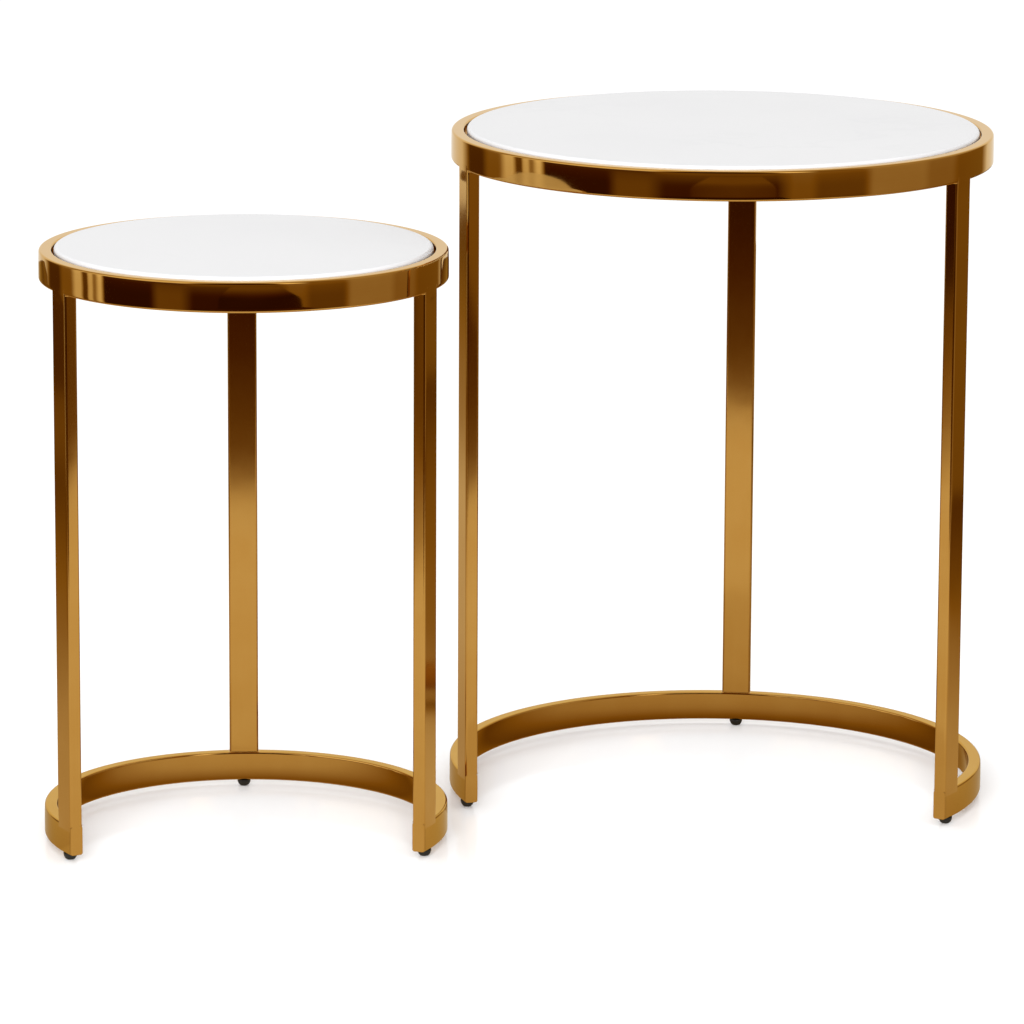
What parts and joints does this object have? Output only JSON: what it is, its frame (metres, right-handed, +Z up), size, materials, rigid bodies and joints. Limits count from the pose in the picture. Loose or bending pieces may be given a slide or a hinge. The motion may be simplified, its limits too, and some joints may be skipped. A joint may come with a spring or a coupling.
{
  "type": "nesting tables",
  "caption": "Pair of round nesting side tables: plated rectangular-tube rings, legs and open base arcs on dome feet, with inset stone tops; the small one stores under the large one.",
  "frame": {"origin": "on the floor under the middle of the pair's outline, with the small table standing beside the large one", "axes": "+Z up; -Y towards the open fronts of the base arcs; +X from the small table towards the large one"},
  "size_m": [0.8809, 0.5749, 0.6295],
  "materials": {
    "gold_plate": "polished gold-coloured plating on steel tube",
    "white_stone": "polished white marble with very faint grey veins",
    "foot_rubber": "black moulded rubber",
    "soft_pad": "translucent soft bumper"
  },
  "bodies": {
    "small_frame": {"small_top_ring": "gold_plate", "small_base_arc": "gold_plate", "small_back_leg": "gold_plate", "small_left_leg": "gold_plate", "small_right_leg": "gold_plate", "small_left_end_cap": "gold_plate", "small_right_end_cap": "gold_plate", "small_support_tab_1": "gold_plate", "small_support_tab_2": "gold_plate", "small_support_tab_3": "gold_plate", "small_support_tab_4": "gold_plate", "small_pad_1": "soft_pad", "small_pad_2": "soft_pad", "small_pad_3": "soft_pad", "small_pad_4": "soft_pad", "small_back_foot": "foot_rubber", "small_left_foot": "foot_rubber", "small_right_foot": "foot_rubber"},
    "small_stone": {"small_stone_top": "white_stone"},
    "large_frame": {"large_top_ring": "gold_plate", "large_base_arc": "gold_plate", "large_back_leg": "gold_plate", "large_left_leg": "gold_plate", "large_right_leg": "gold_plate", "large_left_end_cap": "gold_plate", "large_right_end_cap": "gold_plate", "large_support_tab_1": "gold_plate", "large_support_tab_2": "gold_plate", "large_support_tab_3": "gold_plate", "large_support_tab_4": "gold_plate", "large_pad_1": "soft_pad", "large_pad_2": "soft_pad", "large_pad_3": "soft_pad", "large_pad_4": "soft_pad", "large_back_foot": "foot_rubber", "large_left_foot": "foot_rubber", "large_right_foot": "foot_rubber"},
    "large_stone": {"large_stone_top": "white_stone"}
  },
  "joints": [
    {"name": "large_stone_lift", "type": "slide", "parent": "large_frame", "child": "large_stone", "axis": [0, 0, 1], "range_m": [0, 0.04]},
    {"name": "small_table_swing", "type": "hinge", "parent": "large_frame", "child": "small_frame", "pos_m": [-0.0464, 0.0143, 0], "axis": [0, 0, 1], "range_deg": [0, 156]},
    {"name": "small_stone_lift", "type": "slide", "parent": "small_frame", "child": "small_stone", "axis": [0, 0, 1], "range_m": [0, 0.04]}
  ]
}
